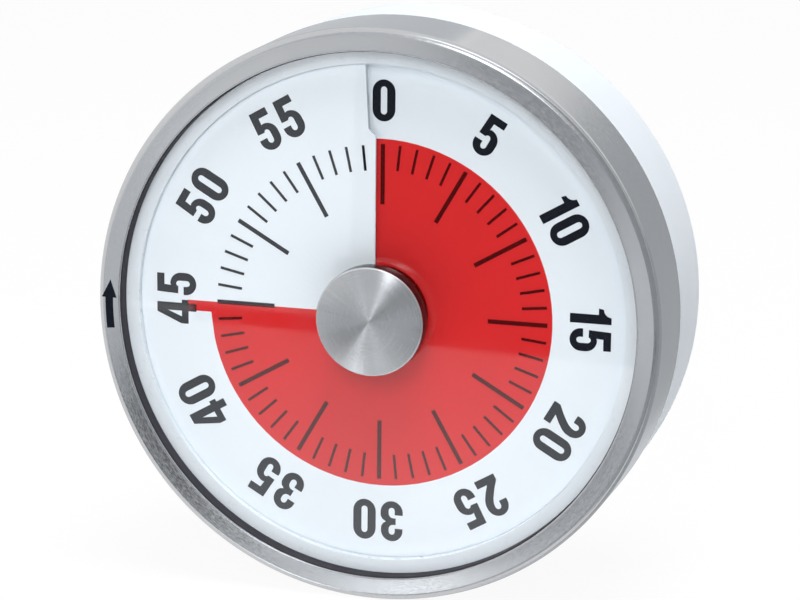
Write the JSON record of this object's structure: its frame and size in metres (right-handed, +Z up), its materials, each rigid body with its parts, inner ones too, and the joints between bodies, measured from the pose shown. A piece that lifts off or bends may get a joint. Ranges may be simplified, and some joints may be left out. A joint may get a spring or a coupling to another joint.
{
  "type": "visual countdown timer",
  "caption": "Round wind-up timer: a red film turns through the slit of a white minute dial behind a clear lens in a brushed steel ring, with a magnetic back.",
  "frame": {"origin": "middle of the flat back, on the spindle", "axes": "+Z up toward the zero mark, +Y out of the back, so the dial faces -Y and +X is the reader's right"},
  "size_m": [0.079, 0.0309, 0.079],
  "materials": {
    "ring_steel": "brushed",
    "seal_rubber": "matt",
    "lens_clear": "clear",
    "dial_white": "satin",
    "bed_white": "satin",
    "film_red": "translucent",
    "case_white": "satin",
    "knob_metal": "brushed",
    "knob_dark": "matt",
    "arbor_steel": "turned",
    "plate_brass": "satin",
    "wheel_plastic": "satin",
    "spring_steel": "blued",
    "bell_steel": "plated",
    "magnet_grey": "plated"
  },
  "bodies": {
    "case": {"front_ring": "ring_steel", "lens_seal": "seal_rubber", "lens": "lens_clear", "dial_bed": "bed_white", "dial": "dial_white", "case_shell": "case_white", "magnet_left": "magnet_grey", "magnet_right": "magnet_grey", "front_plate": "plate_brass", "back_plate": "plate_brass", "pillar_1": "plate_brass", "pillar_2": "plate_brass", "pillar_3": "plate_brass", "screw_1": "arbor_steel", "screw_2": "arbor_steel", "screw_3": "arbor_steel", "mainspring": "spring_steel", "bell": "bell_steel", "bell_post": "arbor_steel", "hammer_pivot": "arbor_steel", "stand_pin": "arbor_steel"},
    "knob": {"knob_cap": "knob_metal", "knob_core": "knob_dark", "main_arbor": "arbor_steel", "film_hub": "bed_white", "great_wheel": "plate_brass", "strike_cam": "plate_brass"},
    "film": {"red_film": "film_red"},
    "second": {"second_wheel": "wheel_plastic", "second_arbor": "arbor_steel"},
    "third": {"third_wheel": "wheel_plastic", "third_arbor": "arbor_steel"},
    "escape": {"escape_wheel": "wheel_plastic", "escape_arbor": "arbor_steel"},
    "pallet": {"pallet": "arbor_steel", "pallet_arbor": "arbor_steel"},
    "hammer": {"hammer": "arbor_steel"},
    "stand": {"stand": "case_white"}
  },
  "joints": [
    {"name": "knob_turn", "type": "hinge", "parent": "case", "child": "knob", "pos_m": [0, -0.0145, 0], "axis": [0, 1, 0], "range_deg": [-270, 90]},
    {"name": "film_climb", "type": "slide", "parent": "knob", "child": "film", "axis": [0, -1, 0], "range_m": [-0.0009, 0.0003]},
    {"name": "second_turn", "type": "hinge", "parent": "case", "child": "second", "pos_m": [-0.01579, -0.0147, -0.00575], "axis": [0, 1, 0], "range_deg": [-541, 1621]},
    {"name": "third_turn", "type": "hinge", "parent": "case", "child": "third", "pos_m": [-0.01938, -0.0147, 0.00412], "axis": [0, 1, 0], "range_deg": [-9721, 3241]},
    {"name": "escape_turn", "type": "hinge", "parent": "case", "child": "escape", "pos_m": [-0.01336, -0.0147, 0.01272], "axis": [0, 1, 0], "range_deg": [-19441, 58321]},
    {"name": "pallet_rock", "type": "hinge", "parent": "case", "child": "pallet", "pos_m": [-0.01011, -0.0116, 0.01835], "axis": [0, 1, 0], "range_deg": [-4, 4]},
    {"name": "hammer_swing", "type": "hinge", "parent": "case", "child": "hammer", "pos_m": [0.014, -0.0079, 0.006], "axis": [0, 1, 0], "range_deg": [-3, 6], "stiffness_Nm_per_rad": 0.0005},
    {"name": "stand_fold", "type": "hinge", "parent": "case", "child": "stand", "pos_m": [0, -0.0012, -0.0065], "axis": [1, 0, 0], "range_deg": [0, 48]}
  ],
  "couplings": [
    {"joint": "film_climb", "follows": "knob_turn", "m_per_rad": 0.00019099},
    {"joint": "second_turn", "follows": "knob_turn", "ratio": -6},
    {"joint": "third_turn", "follows": "knob_turn", "ratio": 36},
    {"joint": "escape_turn", "follows": "knob_turn", "ratio": -216}
  ]
}
